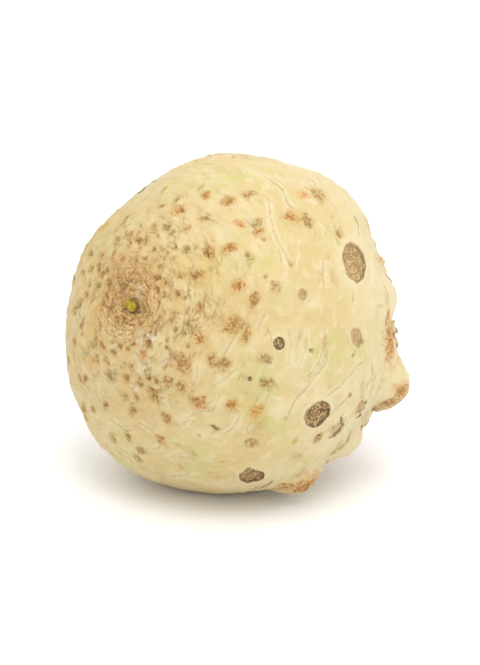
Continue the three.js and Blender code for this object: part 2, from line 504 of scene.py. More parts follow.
def beside_crack(crack, directions):
    """Distance from the crack in mm, signed by side, and how far along it, 0 to 1."""
    path = smooth_path(crack.places, 0.6)
    middle = path[len(path) // 2]
    length = MEAN_RADIUS * np.linalg.norm(np.diff(path, axis=0), axis=1).sum()
    near = np.flatnonzero(MEAN_RADIUS * np.arccos(np.clip(directions @ middle, -1, 1)) < length)
    side = np.full(len(directions), FAR_AWAY)
    along = np.zeros(len(directions))
    if len(near):
        closest = (directions[near] @ path.T).argmax(1)
        ahead = np.gradient(path, axis=0)
        across = np.cross(path, ahead / np.linalg.norm(ahead, axis=1)[:, None])
        offset = MEAN_RADIUS * (directions[near] - path[closest])
        side[near] = (offset * across[closest]).sum(1)
        past = np.sqrt(np.clip((offset**2).sum(1) - side[near] ** 2, 0, None))
        side[near] = np.where(past > 1.0, FAR_AWAY, side[near])
        along[near] = closest / (len(path) - 1)
    return side, along


def refine(globe, wanted):
    """Halves the quads where wanted, a test of face directions, says so."""
    centres = face_centres(globe.data)
    centres /= np.linalg.norm(centres, axis=1)[:, None]
    edit_faces(globe, wanted(centres), bpy.ops.mesh.subdivide, number_cuts=1)
    rounded(globe)


def near_crown(within):
    limit = cos(radians(within))
    return lambda directions: directions[:, 2] > limit


def near_tail(within):
    limit = cos(radians(within))
    return lambda directions: directions[:, 2] < -limit


def at_scars(scars, margin):
    """A test for directions on any of the scars, or within margin mm of their edges."""
    def wanted(directions):
        found = np.zeros(len(directions), bool)
        for scar in scars:
            reach = scar_reach(scar, directions)[0]
            found |= reach < 1 + 2 * margin / min(scar.length, scar.width)
        return found
    return wanted


def at_cracks(cracks, margin):
    """A test for directions within margin mm of any of the cracks."""
    def wanted(directions):
        found = np.zeros(len(directions), bool)
        for crack in cracks:
            found |= np.abs(beside_crack(crack, directions)[0]) < margin + crack.width
        return found
    return wanted


def unwrap_cube(globe):
    """A map of the six cube faces, two rows of three, on which the skin's looks can be baked."""
    mesh = globe.data
    layer = mesh.uv_layers.new(name="OFBake")
    loops = np.zeros(len(mesh.loops), np.int32)
    mesh.loops.foreach_get("vertex_index", loops)
    starts = np.zeros(len(mesh.polygons), np.int32)
    mesh.polygons.foreach_get("loop_start", starts)
    counts = np.diff(np.append(starts, len(loops)))
    centres = np.repeat(face_centres(mesh), counts, axis=0)
    axis = np.abs(centres).argmax(1)
    row = np.arange(len(loops))
    side = centres[row, axis] > 0
    corner = read_vertices(mesh)[loops]
    ahead = np.abs(corner[row, axis])
    u = np.arctan2(corner[row, (axis + 1) % 3], ahead) / (pi / 2) + 0.5
    v = np.arctan2(corner[row, (axis + 2) % 3], ahead) / (pi / 2) + 0.5
    margin = 0.01
    u = (axis + margin + u * (1 - 2 * margin)) / 3
    v = (side + margin + v * (1 - 2 * margin)) / 2
    layer.data.foreach_set("uv", np.stack([u, v], 1).astype(np.float32).ravel())


def make_globe(scars, cracks):
    """A cube, divided and rounded into a globe, finer at the crown, tail, scars and cracks."""
    bpy.ops.object.select_all(action="DESELECT")
    bpy.ops.mesh.primitive_cube_add(size=2)
    globe = bpy.context.active_object
    everything = np.ones(len(globe.data.polygons), bool)
    edit_faces(globe, everything, bpy.ops.mesh.subdivide, number_cuts=GRID - 1)
    write_vertices(globe.data, np.tan(read_vertices(globe.data) * pi / 4))
    rounded(globe)
    tests = [
        at_scars(scars, SCAR_MARGIN), at_cracks(cracks, CRACK_MARGIN), near_crown(FINE_WITHIN),
        near_tail(TAIL_FINE_WITHIN),
    ]
    refine(globe, lambda d: np.any([test(d) for test in tests], axis=0))
    refine(globe, near_crown(FINER_WITHIN))
    refine(globe, near_crown(FINEST_WITHIN))
    unwrap_cube(globe)
    globe.scale = (WRAP_FROM * MEAN_RADIUS * MM,) * 3
    globe.rotation_euler = (0, -TIPPED_BY, 0)
    globe.location = GLOBE_CENTRE
    alone(globe)
    bpy.ops.object.transform_apply()
    return globe


def make_form(node):
    """A merged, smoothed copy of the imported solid."""
    form = bpy.data.objects.new("form", node.data.copy())
    bpy.context.scene.collection.objects.link(form)
    everything = np.ones(len(form.data.polygons), bool)
    edit_faces(form, everything, bpy.ops.mesh.remove_doubles, threshold=0.01 * MM)
    apply_modifier(form, "SUBSURF", levels=FORM_SMOOTHING, render_levels=FORM_SMOOTHING)
    return form


# ---------------------------------------------------------------------------------------------
# Carving
# ---------------------------------------------------------------------------------------------
def measured(skin):
    """Where each vertex is: its place, normal, direction, mm from the crown, and turn."""
    places = read_vertices(skin.data)
    growth = (places - np.array(GLOBE_CENTRE)) @ GROWTH_AXES
    directions = growth / np.linalg.norm(growth, axis=1)[:, None]
    return SimpleNamespace(
        place=places,
        normal=read_vertices(skin.data, "normal"),
        direction=directions,
        from_crown=np.arccos(np.clip(directions[:, 2], -1, 1)) * MEAN_RADIUS,
        turn=np.arctan2(-directions[:, 1], directions[:, 0]) + BUD_TURN,
    )


def noise_at(places, size, octaves=2, layer=0):
    """Smooth noise, -1 to 1, with features of the given size in the places' unit."""
    shift = Vector((31.7, 17.3, 5.1)) * layer
    return np.array(
        [noise.fractal(Vector(p) / size + shift, 1.0, 2.0, octaves) for p in places]
    )


def relaxed(mesh, values, rounds):
    """The values at the vertices, evened out along the edges."""
    ends = np.zeros(len(mesh.edges) * 2, np.int32)
    mesh.edges.foreach_get("vertices", ends)
    a, b = ends.reshape(-1, 2).T
    count = len(mesh.vertices)
    neighbours = np.bincount(a, minlength=count) + np.bincount(b, minlength=count)
    for _ in range(rounds):
        totals = [
            np.bincount(a, column[b], count) + np.bincount(b, column[a], count)
            for column in values.T
        ]
        values = 0.5 * values + 0.5 * np.stack(totals, 1) / neighbours[:, None]
    return values


def valleys(mesh, places, normals, rounds):
    """How far each vertex lies below its surroundings, smoothed in that many rounds, in mm."""
    return ((relaxed(mesh, places, rounds) - places) * normals).sum(1) / MM


def nearest_scars(scars, directions, wobble):
    """For each vertex, its nearest scar's number, the reach from its middle, and the lean. The
    wobble bends the scars' edges, and the crisp ones least."""
    best = np.full(len(directions), 4.0)
    number = np.zeros(len(directions), int)
    lean = np.zeros(len(directions))
    for i, scar in enumerate(scars):
        reach, aside = scar_reach(scar, directions)
        reach = reach * (1 + wobble * (0.35 - 0.27 * scar.kind.crisp))
        closer = reach < best
        best[closer], number[closer], lean[closer] = reach[closer], i, aside[closer]
    return number, best, np.clip(lean, -1, 1)


def scar_relief(kinds, number, reach, grain):
    """A sunken or raised, grainy middle with a rim round it."""
    sink, rim, rough = np.array([kind[:3] for kind in kinds])[number].T
    inside = smooth_step(1.08, 0.82, reach)
    edge = np.exp(-(((reach - 1.12) / 0.22) ** 2))
    return sink * inside + rim * edge + rough * grain * inside


def crown_relief(at, ring_mm, coarse, medium):
    """The dimple, the bud in it, and the dry fibres round them. Also gives the fibre grooves."""
    s = at.from_crown * (1 + BUD_STRETCH * np.sin(2 * at.turn))
    bud = BUD_HEIGHT * np.sqrt(np.clip(1 - (s / (BUD_RADIUS * (1 + 0.5 * medium))) ** 2, 0, 1))
    dimple = -DIMPLE_DEPTH * np.exp(-((s / DIMPLE_REACH) ** 2))
    stretch = np.array([FIBRE_LENGTH, FIBRE_LENGTH, FIBRE_WIDTH])
    sway = np.column_stack([noise_at(ring_mm, 3.5, 1, layer=layer) for layer in (6, 7, 8)])
    fibres = noise_at((ring_mm + FIBRE_SWAY * sway) / stretch, 1, layer=5)
    edge = s + 3.5 * coarse + 2 * medium
    amount = smooth_step(BUD_RADIUS, BUD_RADIUS + 1, s) * smooth_step(FIBRES_END + 3, 8, edge)
    groove = np.clip(0.1 - fibres, 0, 0.6) * amount
    return bud + dimple + (FIBRE_HEIGHT * fibres - 0.2) * amount, groove


def crack_relief(cracks, directions, wander):
    """Grooves with slightly raised lips. Also gives the nearest crack's side, width and look."""
    height = np.zeros(len(directions))
    nearest = np.full(len(directions), CRACK_SIDE_LIMIT)
    width = np.zeros(len(directions))
    look = np.zeros((len(directions), 3))
    for crack in cracks:
        side, along = beside_crack(crack, directions)
        side = side + wander
        taper = smooth_step(0, 0.2, along) * smooth_step(1, 0.8, along)
        groove = np.exp(-((side / (0.6 * crack.width + 0.3)) ** 2))
        lips = np.exp(-(((np.abs(side) - crack.width - 0.9) / 0.6) ** 2))
        height += crack.depth * taper * (0.5 * lips - 0.7 * groove)
        closer = np.abs(side) < np.abs(nearest)
        nearest[closer] = side[closer]
        width[closer] = (crack.width * taper * smooth_step(2.6, 1.6, np.abs(side)))[closer]
        look[closer] = (crack.dark, crack.green, 0)
    return height, np.clip(nearest, -CRACK_SIDE_LIMIT, CRACK_SIDE_LIMIT), width, look


def pale_patches(directions, wobble):
    """How pale the dry patches make each vertex, 0 to 1."""
    pale = np.zeros(len(directions))
    for place, size in PALE_PATCHES:
        reach = gap_between(directions, direction(*place)) * 2 / size
        pale = np.maximum(pale, smooth_step(1.3, 0.3, reach + wobble))
    return pale


def add_attribute(mesh, name, kind, values):
    attribute = mesh.attributes.new(name, kind, "POINT")
    field = "value" if kind == "FLOAT" else "vector"
    attribute.data.foreach_set(field, np.asarray(values, np.float32).ravel())


def carve(skin, large, small, cracks):
    """Moves the skin's vertices along their normals into its relief, and keeps what the material
    reads as attributes."""
    mesh = skin.data
    at = measured(skin)
    mm = at.place / MM
    ring_mm = np.column_stack([at.direction[:, :2] * MEAN_RADIUS, at.from_crown])
    broad = noise_at(mm, BROAD_SIZE)
    coarse = noise_at(mm, COARSE_SIZE, layer=1)
    medium = noise_at(mm, MEDIUM_SIZE, layer=2)
    fine = noise_at(mm, FINE_SIZE, layer=3)
    leather = noise_at(ring_mm / np.array([RIDGE_LENGTH, RIDGE_LENGTH, RIDGE_GAP]), 1, layer=4)
    ridges = 1 - 3 * np.abs(leather)
    degrees = np.degrees(at.from_crown / MEAN_RADIUS)
    rough_tail = smooth_step(ROUGH_TAIL_FROM, ROUGH_TAIL_FULL, degrees)
    rough_crown = smooth_step(ROUGH_CROWN_FROM, ROUGH_CROWN_FULL, at.from_crown)

    height = BROAD_HEIGHT * broad + COARSE_HEIGHT * coarse + MEDIUM_HEIGHT * medium
    height += FINE_HEIGHT * fine + RIDGE_HEIGHT * ridges - RELIEF_DROP
    height += rough_tail * (ROUGH_TAIL_COARSE * coarse + ROUGH_TAIL_MEDIUM * medium)
    height += rough_crown * ROUGH_CROWN_HEIGHT * medium
    for place, reach, depth in HOLLOWS:
        height -= depth * np.exp(-((gap_between(at.direction, direction(*place)) / reach) ** 2))

    folds = np.clip(valleys(mesh, at.place, at.normal, FOLD_ROUNDS), 0, FOLD_LIMIT)
    height -= FOLD_DEPTH * folds

    crown, groove = crown_relief(at, ring_mm, coarse, medium)
    height += crown

    number, reach, lean = nearest_scars(large, at.direction, medium)
    height += scar_relief([s.kind for s in large], number, reach, fine + 0.6 * medium)
    small_number, small_reach, _ = nearest_scars(small, at.direction, medium)
    small_relief = scar_relief([s.kind for s in small], small_number, small_reach, fine)
    height += SMALL_SCAR_DEPTH * small_relief

    furrow = np.exp(-((noise_at(mm, FURROW_GAP, layer=9) / FURROW_WIDTH) ** 2))
    furrow *= smooth_step(1.0, 1.4, reach) * smooth_step(FURROWS_FROM, FURROWS_FULL, degrees)
    height -= FURROW_DEPTH * furrow

    wander = 0.5 * medium + 0.25 * fine
    crack_height, side, width, crack_look = crack_relief(cracks, at.direction, wander)
    height += crack_height
    crisp = np.array([s.kind.crisp for s in large])[number]
    width *= np.where(crisp > 0.5, smooth_step(1.1, 1.5, reach), 1)  # no crack on a cut root

    places = at.place + at.normal * height[:, None] * MM
    places[:, 2] = np.maximum(places[:, 2], 0)
    write_vertices(mesh, places)

    looks, small_looks = (np.array([s.kind[3:] for s in found]) for found in (large, small))
    values = {
        "scar_reach": np.minimum(reach, SCAR_REACH_LIMIT), "scar_lean": lean,
        "spot_reach": np.minimum(small_reach, SCAR_REACH_LIMIT),
        "crack_side": side, "crack_width": width,
        "fold": folds, "furrow": furrow, "groove": groove, "ridge": ridges,
        "swell": coarse + 0.6 * medium,
        "pale": pale_patches(at.direction, 0.5 * medium),
    }
    for name, value in values.items():
        add_attribute(mesh, name, "FLOAT", value)
    vectors = {
        "scar_look": looks[number], "spot_look": small_looks[small_number],
        "crack_look": crack_look,
    }
    for name, value in vectors.items():
        add_attribute(mesh, name, "FLOAT_VECTOR", value)


def make_skin():
    """The globe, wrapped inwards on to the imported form, smoothed and carved."""
    rng = np.random.default_rng(SEED)
    large = NEAR_SIDE_SCARS + TAIL_SCARS + far_side_scars(rng)
    small = small_scars(rng, large)
    cracks = NEAR_SIDE_CRACKS + far_side_cracks(rng)
    form = make_form(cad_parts["celeriac_root"])
    skin = make_globe(large, cracks)
    skin.name = "celeriac_skin"
    skin.data.name = "celeriac_skin"
    apply_modifier(
        skin,
        "SHRINKWRAP",
        target=form,
        wrap_method="PROJECT",
        use_negative_direction=True,
        use_positive_direction=False,
    )
    apply_modifier(skin, "SMOOTH", factor=0.5, iterations=SKIN_SMOOTHING)
    bpy.data.objects.remove(form)
    carve(skin, large, small, cracks)
    alone(skin)
    bpy.ops.object.shade_smooth()
    return skin


# ---------------------------------------------------------------------------------------------
# Material
# ---------------------------------------------------------------------------------------------
def paint(red, green, blue):
    """A screen colour, 0 to 255, as the linear colour that a shader takes."""
    def linear(value):
        value /= 255
        return value / 12.92 if value <= 0.04045 else ((value + 0.055) / 1.055) ** 2.4
    return (linear(red), linear(green), linear(blue), 1.0)


CREAM = paint(204, 187, 141)
PALE_CREAM = paint(209, 196, 160)
DEEP_CREAM = paint(197, 175, 120)
GREENISH = paint(184, 179, 108)
TAN = paint(197, 158, 96)
CROWN_TAN = paint(195, 153, 92)
FIBRE_LIGHT = paint(222, 192, 146)
FIBRE_BROWN = paint(126, 88, 48)
SCAR_GREY = paint(174, 145, 80)
SCAR_RUST = paint(198, 145, 76)
SCAR_AMBER = paint(208, 154, 82)
SCAR_MOSSY = paint(186, 164, 68)
FLECK_GREY = paint(118, 87, 40)
FLECK_RUST = paint(150, 94, 40)
DISC_LIGHT = paint(208, 177, 122)
DISC_BROWN = paint(194, 164, 114)
DISC_DARK = paint(86, 60, 30)
DRY_PALE = paint(209, 194, 164)
BUD_OLIVE = paint(156, 133, 20)
BUD_YELLOW = paint(201, 183, 79)
LINE_BROWN = paint(178, 142, 84)
VEIN_GREEN = paint(164, 165, 81)
# tan painted as shade in the folds and furrows
CREASE_SHADE_TAN = paint(169, 126, 77)


class Shading:
    """Short ways to add and link nodes in one material."""

    def __init__(self, material):
        self.tree = material.node_tree
        self.tree.nodes.clear()

    def node(self, kind, inputs=(), **settings):
        node = self.tree.nodes.new(kind)
        for name, value in settings.items():
            setattr(node, name, value)
        for key, value in dict(inputs).items():
            self.feed(node.inputs[key], value)
        return node

    def feed(self, socket, value):
        if isinstance(value, bpy.types.NodeSocket):
            self.tree.links.new(value, socket)
        else:
            socket.default_value = value

    def math(self, operation, *values, clamp=False):
        inputs = dict(enumerate(values))
        return self.node("ShaderNodeMath", inputs, operation=operation, use_clamp=clamp).outputs[0]

    def times(self, *values):
        product = values[0]
        for value in values[1:]:
            product = self.math("MULTIPLY", product, value)
        return product

    def vector(self, operation, *values):
        inputs = dict(enumerate(values))
        return self.node("ShaderNodeVectorMath", inputs, operation=operation).outputs[0]

    def split(self, vector):
        return tuple(self.node("ShaderNodeSeparateXYZ", {0: vector}).outputs)

    def noise(self, vector, detail=2.0, roughness=0.5, distortion=0.0, output="Fac"):
        inputs = {"Vector": vector, "Scale": 1.0, "Detail": detail, "Roughness": roughness,
                  "Distortion": distortion}
        return self.node("ShaderNodeTexNoise", inputs).outputs[output]

    def ease(self, value, low, high, to_low=0.0, to_high=1.0):
        """Goes smoothly from to_low to to_high as value goes from low to high."""
        inputs = {"Value": value, "From Min": low, "From Max": high, "To Min": to_low,
                  "To Max": to_high}
        return self.node(
            "ShaderNodeMapRange", inputs, interpolation_type="SMOOTHSTEP"
        ).outputs["Result"]

    def mix(self, a, b, factor):
        node = self.node("ShaderNodeMix", data_type="RGBA", clamp_factor=True)
        for socket, value in zip([node.inputs[0], node.inputs[6], node.inputs[7]], [factor, a, b]):
            self.feed(socket, value)
        return node.outputs[2]

    def attribute(self, name, output="Fac"):
        return self.node("ShaderNodeAttribute", attribute_name=name).outputs[output]


class SkinCoats(Shading):
    """The skin's colour, relief and dullness, built up coat by coat on the root's own axes."""

    def __init__(self, material):
        super().__init__(material)
        place = self.node("ShaderNodeTexCoord").outputs["Object"]
        growth = self.node(
            "ShaderNodeMapping",
            {"Vector": place, "Location": GLOBE_CENTRE, "Rotation": (0, -TIPPED_BY, 0)},
            vector_type="TEXTURE",
        ).outputs[0]
        self.mm = self.vector("MULTIPLY", growth, (1 / MM,) * 3)
        self.axes = self.split(self.vector("NORMALIZE", growth))
        self.from_crown = self.times(self.math("ARCCOSINE", self.axes[2]), MEAN_RADIUS)
        self.ring_place = self.node(
            "ShaderNodeCombineXYZ",
            {0: self.times(self.axes[0], MEAN_RADIUS), 1: self.times(self.axes[1], MEAN_RADIUS),
             2: self.from_crown},
        ).outputs[0]

        # Noises that several coats share: how far the crown's and the tail's edges wander in mm,
        # how ragged a scar's edge is, the flecks in rough places, and the maze on a cut root
        wander = self.math("SUBTRACT", self.noise_of(7, 2.0, detail=3.0), 0.5)
        self.edge_wobble = self.times(wander, 14.0)
        ragged = self.noise_of(2.0, 4.0, detail=4.0, roughness=0.6)
        self.ragged = self.math("SUBTRACT", ragged, 0.5)
        self.flecks = self.noise_of(1.0, 13.0, detail=3.0, roughness=0.6)
        maze = self.noise_of(0.75, 23.5, detail=0.5, distortion=1.5)
        self.maze = self.ease(maze, 0.42, 0.53)

        self.colour = CREAM
        self.relief = 0.0
        self.dullness = 0.0

    def noise_of(self, size, shift=0.0, **settings):
        """Noise with features of the given size in mm."""
        scaled = self.vector("MULTIPLY", self.mm, (1 / size,) * 3)
        return self.noise(self.vector("ADD", scaled, (shift,) * 3), **settings)

    def ringwise(self, length, width, shift=0.0, **settings):
        """Noise drawn out round the growth axis, with features of the given size in mm."""
        scaled = self.vector("MULTIPLY", self.ring_place, (1 / length, 1 / length, 1 / width))
        return self.noise(self.vector("ADD", scaled, (shift,) * 3), **settings)

    def sway(self, size, amount):
        """A vector that wanders either way by up to about half of amount mm."""
        scaled = self.vector("MULTIPLY", self.mm, (1 / size,) * 3)
        wander = self.noise(scaled, detail=1.0, output="Color")
        return self.vector("MULTIPLY", self.vector("SUBTRACT", wander, (0.5,) * 3), (amount,) * 3)

    def off_middle(self, value):
        return self.math("ABSOLUTE", self.math("SUBTRACT", value, 0.5))

    def lay(self, colour, amount):
        """Lays a colour over what is there."""
        self.colour = self.mix(self.colour, colour, amount)

    def lift(self, height, value):
        """Adds to the relief: height mm where the value is 1, and down where it is negative."""
        self.relief = self.math("MULTIPLY_ADD", value, height, self.relief)

    def dull(self, mask):
        self.dullness = self.math("MAXIMUM", self.dullness, mask)


# In the coats, sizes are in mm. A noise lies mostly between 0.3 and 0.7, so the first two numbers
# that ease takes say how much of the skin a patch covers and how soft its edge is.
def coat_with_skin(s):
    """Cream in broad, mottled and streaked patches, greenish in places, with painted shade in the
    low places between swells, and pale ridge crests that are partly painted highlight.
    """
    mottle = s.noise_of(6.5, 15.0, detail=3.0)
    streak = s.ringwise(13, 4.5)
    s.lay(DEEP_CREAM, s.ease(s.noise_of(30), 0.38, 0.64))
    s.lay(GREENISH, s.times(s.ease(s.noise_of(17, 7.0, detail=3.0), 0.50, 0.66), 0.68))
    s.lay(DEEP_CREAM, s.ease(mottle, 0.45, 0.75, 0.0, 0.5))
    s.lay(DEEP_CREAM, s.ease(streak, 0.50, 0.75, 0.0, 0.4))
    s.lay(PALE_CREAM, s.ease(mottle, 0.48, 0.26, 0.0, 0.4))
    # painted shade: deeper cream where the swells of the relief are low
    s.lay(DEEP_CREAM, s.ease(s.attribute("swell"), 0.0, -0.6, 0.0, 0.6))
    # pale ridge crests: partly the skin's own paleness, partly painted highlight on the raised
    # ridges
    ridge = s.ease(s.attribute("ridge"), 0.35, 0.95)
    s.lay(PALE_CREAM, s.times(ridge, s.ease(s.noise_of(6.0, 23.0), 0.40, 0.60), 0.6))
    wrinkle = s.ease(s.off_middle(s.ringwise(12.0, 7.0, 27.0, detail=1.0)), 0.10, 0.0)
    wrinkle = s.times(wrinkle, s.ease(s.noise_of(9.0, 31.0), 0.45, 0.62))
    s.lay(PALE_CREAM, s.times(wrinkle, 0.25))

    # paler towards the tail, deeper and tan in patches towards the crown
    s.lay(PALE_CREAM, s.ease(s.from_crown, 68.0, 105.0, 0.0, 0.5))
    s.lay(DEEP_CREAM, s.ease(s.from_crown, 62.0, 34.0, 0.0, 0.35))
    tan = s.ease(s.noise_of(7.0, 33.0, detail=3.0), 0.38, 0.62)
    s.lay(TAN, s.times(s.ease(s.from_crown, 66.0, 22.0), tan, 0.42))

    s.lift(0.5, streak)
    s.lift(0.5, mottle)
    s.lift(0.18, wrinkle)
    s.lift(0.28, s.noise_of(1.3, 6.0, detail=3.0))


def coat_with_dry_lines(s):
    """Dusty wrinkles between the spots near the crown, and fine dry lines all over."""
    dusty = s.ease(s.noise_of(6.0, 61.0), 0.44, 0.62)
    dusty = s.times(s.ease(s.from_crown, 52.0, 24.0), dusty)
    dust = s.ease(s.ringwise(2.4, 1.1, 37.0, detail=3.0, roughness=0.65), 0.50, 0.64)
    dust = s.times(dusty, dust)
    s.lay(LINE_BROWN, s.times(dust, 0.75))
    s.lift(-0.4, dust)

    # where a slow noise passes its middle
    line = s.ease(s.off_middle(s.ringwise(20, 6, 3.0)), 0.010, 0.002)
    line = s.times(line, s.ease(s.noise_of(9.0, 11.0), 0.54, 0.66))
    s.lay(LINE_BROWN, s.times(line, 0.35))
    s.lift(-0.25, line)


def coat_with_cracks(s):
    """Dark cracks and green veins along the carved grooves, with pale lips that are partly the
    skin's own paler edge and partly painted highlight.
    """
    width = s.attribute("crack_width")
    dark, green, _ = s.split(s.attribute("crack_look", "Vector"))
    thickness = s.times(width, s.ease(s.noise_of(2.5, 21.0), 0.38, 0.62, 0.1, 1.6))
    gap = s.math("ABSOLUTE", s.attribute("crack_side"))
    inside = s.math("SUBTRACT", thickness, gap)
    crack = s.times(s.ease(inside, -0.26, 0.10), s.ease(width, 0.0, 0.10))
    line = s.mix(LINE_BROWN, VEIN_GREEN, green)
    line = s.mix(line, DISC_DARK, s.ease(dark, 0.45, 1.0, 0.0, 0.8))
    # pale lips beside the crack: partly the skin's own paler edge, partly painted highlight on the
    # raised lips
    s.lay(PALE_CREAM, s.times(s.ease(gap, 2.0, 0.8), s.ease(width, 0.0, 0.15, 0.0, 0.45)))
    s.lay(line, s.times(crack, s.ease(dark, 0.0, 1.0, 0.25, 0.9)))
    s.lift(-0.35, s.times(crack, dark))


def coat_with_crown(s):
    """Tan, fibrous and flaky skin round the bud, wider on one side than on the other."""
    across = s.math("SUBTRACT", s.axes[0], s.times(s.axes[1], -0.8))
    edge = s.math("ADD", s.from_crown, s.times(across, -11.0))
    edge = s.math("ADD", edge, s.edge_wobble)
    s.lay(TAN, s.ease(edge, 26.0, 8.0, 0.0, 0.55))
    crown = s.ease(edge, 19.0, 8.0)
    s.lay(CROWN_TAN, s.times(crown, 0.75))
    s.dull(crown)

    fibre_place = s.vector("ADD", s.ring_place, s.sway(3.0, 4.0))
    fibre_place = s.vector("MULTIPLY", fibre_place, (0.55, 0.55, 1.5))
    fibre_noise = s.noise(fibre_place, detail=3.0, roughness=0.65)
    fibres = s.ease(s.math("ADD", s.from_crown, s.edge_wobble), 19.0, 13.0)
    patchy = s.ease(s.noise_of(3.5, 41.0, detail=1.0), 0.36, 0.58, 0.35, 1.0)
    s.lay(FIBRE_LIGHT, s.times(fibres, s.ease(fibre_noise, 0.48, 0.38), 0.8))
    s.lay(FIBRE_BROWN, s.times(fibres, patchy, s.ease(fibre_noise, 0.51, 0.62), 0.65))
    s.lay(FIBRE_BROWN, s.ease(s.attribute("groove"), 0.12, 0.5, 0.0, 0.6))
    s.lift(-0.6, s.times(fibre_noise, fibres))

    flaky = s.ease(s.noise_of(2.0, 5.0, detail=4.0, roughness=0.65), 0.40, 0.52)
    s.lay(DRY_PALE, s.times(s.attribute("pale"), flaky, 0.8))


def coat_with_bark(s):
    """Patches of rusty bark at the tail, tan painted shade along the furrows, and soil left in
    them.
    """
    tailward = s.ease(s.math("ADD", s.from_crown, s.times(s.edge_wobble, 0.7)), 114.0, 136.0)
    bark = s.ease(s.noise_of(8.0, 51.0, detail=4.0, roughness=0.6), 0.42, 0.58)
    bark = s.times(bark, tailward)
    s.lay(SCAR_RUST, s.times(bark, 0.6))
    s.lay(FLECK_RUST, s.times(bark, s.ease(s.flecks, 0.46, 0.58), 0.6))
    s.dull(bark)

    furrow = s.attribute("furrow")
    # painted shade: tan along the carved furrows, more where they are deeper
    s.lay(CREASE_SHADE_TAN, s.ease(furrow, 0.0, 0.8, 0.0, 0.6))
    soil = s.times(s.ease(furrow, 0.2, 1.0), s.ease(s.flecks, 0.36, 0.54))
    s.lay(FLECK_RUST, s.times(soil, 0.6))


def coat_with_scars(s, reach_name, look_name, lean=0.0):
    """The scars that the named attributes describe: soft spots, and crisp discs of cut root."""
    brown, warm, crisp = s.split(s.attribute(look_name, "Vector"))
    soft = s.math("SUBTRACT", 1.0, crisp, clamp=True)
    wobble = s.times(s.ragged, s.ease(crisp, 0, 1, 1.7, 0.3))
    reach = s.math("ADD", s.attribute(reach_name), wobble)

    # soft spots: a halo of stained skin, with dark flecks and light flakes
    ground = s.mix(SCAR_GREY, SCAR_RUST, warm)
    ground = s.mix(ground, SCAR_AMBER, s.ease(warm, 0.92, 1.08))
    ground = s.mix(ground, SCAR_MOSSY, s.ease(warm, 0.0, -0.4))
    halo = s.times(s.ease(reach, 1.75, 0.3), brown, soft)
    s.lay(ground, s.times(halo, 0.85))
    plain = s.math("MULTIPLY", s.ease(warm, 1.15, 0.9, 0.5), s.ease(warm, -0.5, 0.0, 0.3))
    crowding = s.math("SUBTRACT", s.flecks, s.times(reach, 0.14))
    flecks = s.times(s.ease(crowding, 0.35, 0.52), s.ease(reach, 1.3, 0.7), brown, soft, plain)
    s.lay(s.mix(FLECK_GREY, FLECK_RUST, warm), s.times(flecks, 0.8))
    flakes = s.times(s.ease(s.flecks, 0.42, 0.32), s.ease(reach, 1.4, 0.8), brown, soft)
    s.lay(FIBRE_LIGHT, s.times(flakes, 0.7))

    # crisp discs: a maze of vessels in a dark outline, thicker on the side away from the crown as
    # painted shadow under the lip, and a pale collar
    collar = s.times(s.ease(reach, 1.0, 1.1), s.ease(reach, 1.5, 1.2), crisp)
    s.lay(PALE_CREAM, s.times(collar, 0.35))
    disc = s.times(s.ease(reach, 1.08, 0.96), s.ease(crisp, 0.2, 0.9))
    s.lay(s.mix(DISC_LIGHT, DISC_BROWN, brown), disc)
    s.lay(DISC_DARK, s.times(disc, s.maze, s.ease(brown, 0.0, 1.0, 0.3, 0.85)))
    # painted shadow under the lip: the dark outline reaches further in on the side away from the
    # crown
    shadowed_inner_edge = s.math("ADD", reach, s.times(lean, 0.12))
    outline = s.times(s.ease(shadowed_inner_edge, 0.88, 1.0), s.ease(reach, 1.10, 1.02), crisp)
    outline = s.times(outline, s.ease(s.ragged, -0.12, 0.02), s.ease(brown, 0.2, 0.8))
    s.lay(DISC_DARK, s.times(outline, 0.8))
    s.dull(s.math("MAXIMUM", halo, disc))


def coat_with_bud(s):
    """Tan painted shade in the folds, and the olive bud in a dark ring, darkest on one side: partly
    the dimple's own brown, partly painted shadow beside the bud.
    """
    # painted shade: tan in the folds, more where they lie deeper
    s.lay(CREASE_SHADE_TAN, s.ease(s.attribute("fold"), 0.3, 1.2, 0.0, 0.5))
    turn = s.math("ARCTAN2", s.times(s.axes[1], -1.0), s.axes[0])
    doubled = s.math("SINE", s.math("ADD", s.times(turn, 2.0), 2 * BUD_TURN))
    shadow_side = s.ease(s.math("COSINE", s.math("SUBTRACT", turn, BUD_SHADOW_TURN)), -0.3, 0.8)
    edge = s.times(s.from_crown, s.math("ADD", 1.0, s.times(doubled, BUD_STRETCH)))
    edge = s.math("ADD", edge, s.times(s.ragged, 1.2))
    # dark ring round the bud: partly the dimple's own brown, partly painted shadow, darkest on the
    # shadow side
    dark_ring = s.ease(edge, BUD_RADIUS + 2.0, BUD_RADIUS + 0.3)
    s.lay(DISC_DARK, s.times(dark_ring, s.math("ADD", s.times(shadow_side, 0.6), 0.2)))
    bud = s.mix(BUD_OLIVE, BUD_YELLOW, s.ease(s.flecks, 0.46, 0.62))
    s.lay(bud, s.ease(edge, BUD_RADIUS + 0.3, BUD_RADIUS - 0.3))


